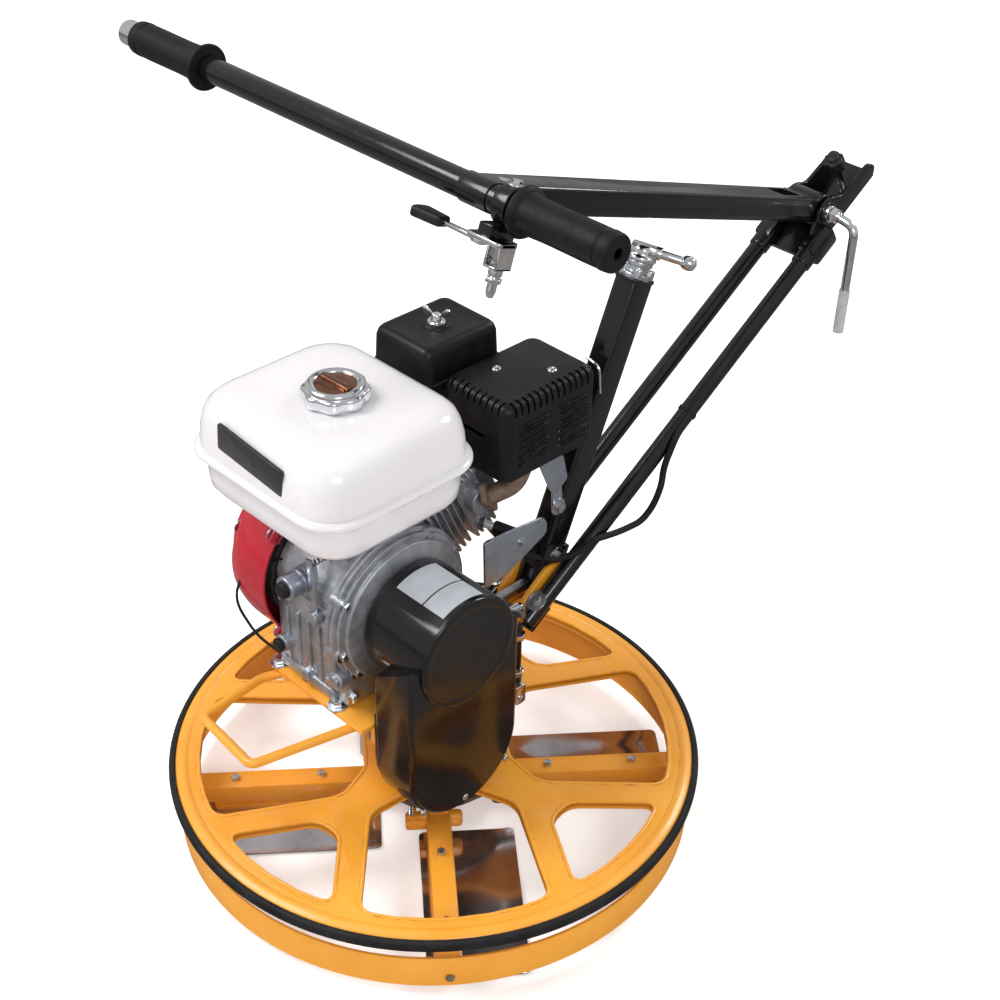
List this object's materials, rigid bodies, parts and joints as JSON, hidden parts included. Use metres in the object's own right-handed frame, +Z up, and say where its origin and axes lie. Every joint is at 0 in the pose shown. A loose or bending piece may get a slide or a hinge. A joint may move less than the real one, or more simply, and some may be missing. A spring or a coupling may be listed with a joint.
{
  "type": "power trowel",
  "caption": "Walk-behind power trowel: petrol engine and belt-driven worm gearbox turn pitched steel blades under a free-rolling guard wheel, with a folding handle.",
  "frame": {"origin": "on the floor, at the middle of the machine's footprint with its handle folded; the rotor axis stands at x 0.1466, y -0.1987", "axes": "+Z up along the rotor axis, +X along the engine's crankshaft towards the belt cover, +Y from the rotor towards the handle"},
  "size_m": [0.9068, 1.0112, 0.7823],
  "materials": {
    "orange_paint": "semi-gloss enamel, scuffed",
    "gloss_black": "high gloss enamel",
    "satin_black": "satin heat paint",
    "black_plastic": "moulded, fine grain",
    "white_tank": "gloss white",
    "red_paint": "gloss red",
    "rubber": "matt",
    "cast_alloy": "sand cast",
    "machined_steel": "turned",
    "blade_steel": "worn bright",
    "bare_plate": "bare sheet",
    "cast_iron": "as cast",
    "gear_bronze": "hobbed",
    "chrome": "bright"
  },
  "bodies": {
    "frame": {"gearbox_housing": "orange_paint", "gearbox_lid": "orange_paint", "output_bearing": "machined_steel", "guard_bearing": "machined_steel", "engine_plate": "orange_paint", "guard_bar": "orange_paint", "drive_belt": "rubber", "belt_cover": "gloss_black", "belt_cover_back": "gloss_black", "crankcase": "cast_alloy", "crankcase_cover": "cast_alloy", "cylinder_barrel": "cast_alloy", "cylinder_head": "cast_alloy", "fuel_tank": "white_tank", "air_cleaner_base": "black_plastic", "air_cleaner_cover": "black_plastic", "carburettor": "cast_alloy", "muffler_body": "cast_iron", "muffler_guard": "satin_black", "heat_shield": "bare_plate", "fan_cover": "red_paint", "recoil_housing": "red_paint", "pitch_column": "gloss_black", "lower_handle": "gloss_black"},
    "rotor": {"output_shaft": "machined_steel", "worm_wheel": "gear_bronze", "spider": "orange_paint", "stabiliser_hoop": "orange_paint"},
    "worm": {"worm_shaft": "machined_steel", "driven_pulley": "cast_iron"},
    "clutch": {"clutch_drum": "machined_steel"},
    "crank": {"crankshaft": "machined_steel", "flywheel": "cast_iron", "clutch_hub": "cast_iron"},
    "guard": {"guard_wheel": "orange_paint", "guard_band": "rubber"},
    "sleeve": {"pitch_sleeve": "machined_steel"},
    "thrust_plate": {"pressure_plate": "machined_steel"},
    "yoke": {"pitch_yoke": "machined_steel"},
    "link": {"pitch_link": "chrome"},
    "nut": {"pitch_nut": "machined_steel"},
    "pitch_handle": {"pitch_crank": "chrome"},
    "handle": {"upper_handle": "gloss_black", "grip_left": "rubber", "grip_right": "rubber", "throttle_housing": "chrome"},
    "throttle": {"throttle_lever": "black_plastic"},
    "clamp": {"clamp_lever": "chrome"},
    "knob": {"lock_knob": "black_plastic"},
    "cap": {"fuel_cap": "chrome"},
    "starter": {"recoil_grip": "black_plastic"},
    "switch": {"stop_switch": "bare_plate"},
    "arm_1": {"trowel_arm_1": "orange_paint", "blade_1": "blade_steel"},
    "arm_2": {"trowel_arm_2": "orange_paint", "blade_2": "blade_steel"},
    "arm_3": {"trowel_arm_3": "orange_paint", "blade_3": "blade_steel"},
    "arm_4": {"trowel_arm_4": "orange_paint", "blade_4": "blade_steel"}
  },
  "joints": [
    {"name": "rotor_spin", "type": "hinge", "parent": "frame", "child": "rotor", "pos_m": [0.14655, -0.19872, 0], "axis": [0, 0, 1], "continuous": true},
    {"name": "worm_spin", "type": "hinge", "parent": "frame", "child": "worm", "pos_m": [0.14655, -0.24972, 0.171], "axis": [1, 0, 0], "continuous": true},
    {"name": "drum_spin", "type": "hinge", "parent": "frame", "child": "clutch", "pos_m": [0.14655, -0.24972, 0.315], "axis": [1, 0, 0], "continuous": true},
    {"name": "crank_spin", "type": "hinge", "parent": "frame", "child": "crank", "pos_m": [0.14655, -0.24972, 0.315], "axis": [1, 0, 0], "continuous": true},
    {"name": "guard_spin", "type": "hinge", "parent": "frame", "child": "guard", "pos_m": [0.14655, -0.19872, 0.08], "axis": [0, 0, 1], "continuous": true},
    {"name": "pitch_crank_turn", "type": "hinge", "parent": "frame", "child": "pitch_handle", "pos_m": [0.14655, -0.05172, 0.209], "axis": [0, 0.3859, 0.9225], "range_deg": [0, 1810]},
    {"name": "pitch_nut_travel", "type": "slide", "parent": "frame", "child": "nut", "axis": [0, -0.3859, -0.9225], "range_m": [0, 0.02]},
    {"name": "pitch_link_travel", "type": "slide", "parent": "frame", "child": "link", "axis": [0, 0, -1], "range_m": [0, 0.0186]},
    {"name": "pitch_yoke_swing", "type": "hinge", "parent": "frame", "child": "yoke", "pos_m": [0.14655, -0.26072, 0.116], "axis": [-1, 0, 0], "range_deg": [0, 6.6]},
    {"name": "pitch_sleeve_travel", "type": "slide", "parent": "frame", "child": "sleeve", "axis": [0, 0, -1], "range_m": [0, 0.0072]},
    {"name": "thrust_plate_travel", "type": "slide", "parent": "rotor", "child": "thrust_plate", "axis": [0, 0, -1], "range_m": [0, 0.0072]},
    {"name": "blade_pitch_1", "type": "hinge", "parent": "rotor", "child": "arm_1", "pos_m": [0.14655, -0.19872, 0.026], "axis": [0.7716, -0.6361, 0], "range_deg": [0, 13.6]},
    {"name": "blade_pitch_2", "type": "hinge", "parent": "rotor", "child": "arm_2", "pos_m": [0.14655, -0.19872, 0.026], "axis": [0.6361, 0.7716, 0], "range_deg": [0, 13.6]},
    {"name": "blade_pitch_3", "type": "hinge", "parent": "rotor", "child": "arm_3", "pos_m": [0.14655, -0.19872, 0.026], "axis": [-0.7716, 0.6361, 0], "range_deg": [0, 13.6]},
    {"name": "blade_pitch_4", "type": "hinge", "parent": "rotor", "child": "arm_4", "pos_m": [0.14655, -0.19872, 0.026], "axis": [-0.6361, -0.7716, 0], "range_deg": [0, 13.6]},
    {"name": "handle_fold", "type": "hinge", "parent": "frame", "child": "handle", "pos_m": [0.14655, 0.41926, 0.57001], "axis": [1, 0, 0], "range_deg": [-127.8, 0]},
    {"name": "clamp_lever_turn", "type": "hinge", "parent": "frame", "child": "clamp", "pos_m": [0.14655, 0.41926, 0.57001], "axis": [1, 0, 0], "range_deg": [-60, 90]},
    {"name": "lock_knob_turn", "type": "hinge", "parent": "frame", "child": "knob", "pos_m": [0.14655, 0.47898, 0.5893], "axis": [0, -0.5512, 0.8344], "range_deg": [0, 720]},
    {"name": "throttle_pull", "type": "hinge", "parent": "handle", "child": "throttle", "pos_m": [0.17455, -0.15969, 0.73008], "axis": [0, 0.3206, 0.9472], "range_deg": [0, 60]},
    {"name": "fuel_cap_turn", "type": "hinge", "parent": "frame", "child": "cap", "pos_m": [0.08555, -0.27372, 0.556], "axis": [0, 0, 1], "range_deg": [0, 90]},
    {"name": "starter_pull", "type": "slide", "parent": "frame", "child": "starter", "axis": [0, 1, 0], "range_m": [0, 0.06]},
    {"name": "stop_switch_turn", "type": "hinge", "parent": "frame", "child": "switch", "pos_m": [0.08055, -0.33872, 0.351], "axis": [0, 1, 0], "range_deg": [0, 45]}
  ],
  "couplings": [
    {"joint": "worm_spin", "follows": "rotor_spin", "ratio": -22},
    {"joint": "drum_spin", "follows": "rotor_spin", "ratio": -35.444},
    {"joint": "pitch_crank_turn", "follows": "pitch_nut_travel", "rad_per_m": 1570.8},
    {"joint": "pitch_link_travel", "follows": "pitch_nut_travel", "ratio": 0.92254},
    {"joint": "pitch_yoke_swing", "follows": "pitch_nut_travel", "rad_per_m": 5.7067},
    {"joint": "pitch_sleeve_travel", "follows": "pitch_nut_travel", "ratio": 0.353},
    {"joint": "thrust_plate_travel", "follows": "pitch_nut_travel", "ratio": 0.353},
    {"joint": "blade_pitch_1", "follows": "pitch_nut_travel", "rad_per_m": 11.781},
    {"joint": "blade_pitch_2", "follows": "pitch_nut_travel", "rad_per_m": 11.781},
    {"joint": "blade_pitch_3", "follows": "pitch_nut_travel", "rad_per_m": 11.781},
    {"joint": "blade_pitch_4", "follows": "pitch_nut_travel", "rad_per_m": 11.781}
  ]
}
